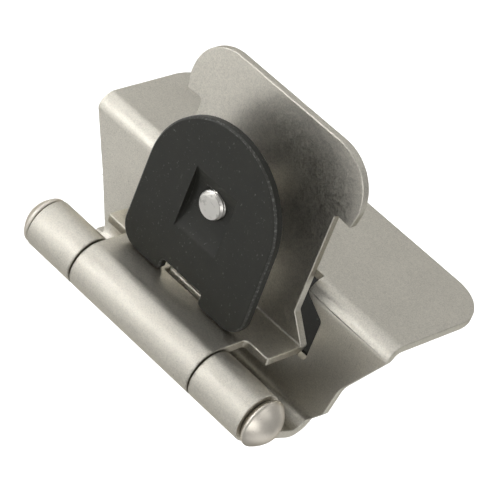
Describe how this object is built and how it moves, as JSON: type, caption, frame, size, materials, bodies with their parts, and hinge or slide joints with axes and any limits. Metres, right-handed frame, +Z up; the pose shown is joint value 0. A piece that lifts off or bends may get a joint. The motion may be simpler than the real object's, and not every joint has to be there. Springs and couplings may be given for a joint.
{
  "type": "double demountable hinge",
  "caption": "Cabinet hinge folded from sheet steel, with a T-shaped door leaf and a wide flanged frame leaf on one pin, each held by a clamp plate and screw.",
  "frame": {"origin": "the middle of the hinge pin's axis", "axes": "+Z up along the pin to its button head, +Y into the cabinet, the door reaches away to -X"},
  "size_m": [0.0485, 0.0444, 0.0698],
  "materials": {
    "nickel_sheet": "satin nickel",
    "nickel_pin": "smoother satin nickel",
    "black_plate": "matt black coating",
    "zinc_screw": "bright zinc plate"
  },
  "bodies": {
    "frame": {"frame_leaf": "nickel_sheet", "hinge_pin": "nickel_pin", "pin_tip": "nickel_pin"},
    "door": {"door_leaf": "nickel_sheet"},
    "door_clamp": {"door_jaw": "black_plate"},
    "door_clamp_screw": {"door_screw": "zinc_screw"},
    "frame_clamp": {"frame_jaw": "black_plate"},
    "frame_clamp_screw": {"frame_screw": "zinc_screw"}
  },
  "joints": [
    {"name": "door_swing", "type": "hinge", "parent": "frame", "child": "door", "pos_m": [0, 0, 0], "axis": [0, 0, 1], "range_deg": [0, 180]},
    {"name": "door_screw_turn", "type": "hinge", "parent": "door", "child": "door_clamp_screw", "pos_m": [-0.02145, 0.01615, 0], "axis": [0, -1, 0], "range_deg": [-451, 2476]},
    {"name": "door_jaw_travel", "type": "slide", "parent": "door", "child": "door_clamp", "axis": [0, 1, 0], "range_m": [-0.001, 0.0055]},
    {"name": "frame_screw_turn", "type": "hinge", "parent": "frame", "child": "frame_clamp_screw", "pos_m": [-0.01635, 0.024, 0], "axis": [1, 0, 0], "range_deg": [-451, 2701]},
    {"name": "frame_jaw_travel", "type": "slide", "parent": "frame", "child": "frame_clamp", "axis": [-1, 0, 0], "range_m": [-0.001, 0.006]}
  ],
  "couplings": [
    {"joint": "door_screw_turn", "follows": "door_jaw_travel", "rad_per_m": 7854},
    {"joint": "frame_screw_turn", "follows": "frame_jaw_travel", "rad_per_m": 7854}
  ]
}
